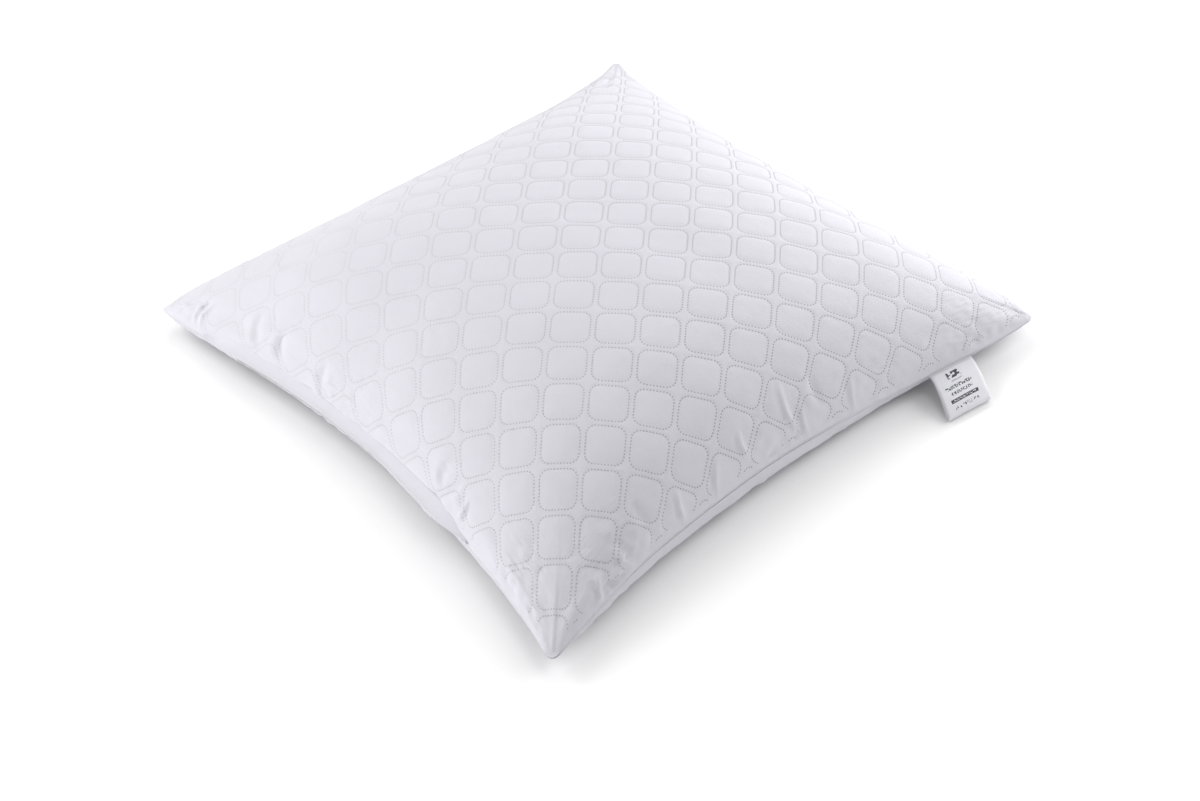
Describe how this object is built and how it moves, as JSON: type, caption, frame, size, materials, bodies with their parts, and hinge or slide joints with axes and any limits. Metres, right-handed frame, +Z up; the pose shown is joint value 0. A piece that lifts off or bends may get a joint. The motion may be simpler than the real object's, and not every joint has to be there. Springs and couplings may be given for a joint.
{
  "type": "bed pillow",
  "caption": "Square bed pillow: a filled inner pillow in a quilted cover with knife edges, a hidden zip along the front edge and a folded loop label.",
  "frame": {"origin": "centre of the flat patch of the underside that rests on the table", "axes": "+Z up, -Y towards the edge with the zip, +X towards the edge with the label"},
  "size_m": [0.7266, 0.7, 0.1461],
  "materials": {
    "face_fabric": "fine brushed white microfibre, matt",
    "wadding": "soft white polyester wadding",
    "backing": "thin white nonwoven",
    "seam_tape": "white overlocked seam allowance",
    "zip_tape": "white woven tape",
    "zip_coil": "white nylon coil",
    "zip_metal": "white enamelled metal",
    "ribbon": "smooth satin ribbon with a dark print",
    "casing": "plain white percale",
    "fibre": "loose siliconised fibre"
  },
  "bodies": {
    "pillow": {"top_face": "face_fabric", "top_wadding": "wadding", "top_backing": "backing", "bottom_face": "face_fabric", "bottom_wadding": "wadding", "bottom_backing": "backing", "edge_seam": "seam_tape", "zip_tape_upper": "zip_tape", "zip_tape_lower": "zip_tape", "zip_coil_upper": "zip_coil", "zip_coil_lower": "zip_coil", "zip_stop_closed": "zip_metal", "zip_stop_open": "zip_metal", "zip_lip": "face_fabric", "label_tail": "ribbon", "casing_top": "casing", "casing_bottom": "casing", "fill_core": "fibre"},
    "slider": {"zip_slider": "zip_metal"},
    "pull": {"zip_pull": "zip_metal"},
    "label": {"label_loop": "ribbon"}
  },
  "joints": [
    {"name": "slider_travel", "type": "hinge", "parent": "pillow", "child": "slider", "pos_m": [0, -1.57804, 0.024], "axis": [0, 0, 1], "range_deg": [0, 14.55]},
    {"name": "pull_flip", "type": "hinge", "parent": "slider", "child": "pull", "pos_m": [0.12917, -0.31473, 0.024], "axis": [0, 0, 1], "range_deg": [0, 150]},
    {"name": "label_flap", "type": "hinge", "parent": "pillow", "child": "label", "pos_m": [0.32691, 0.20781, 0.0247], "axis": [-0.128, -0.9918, 0], "range_deg": [-4, 95]}
  ]
}
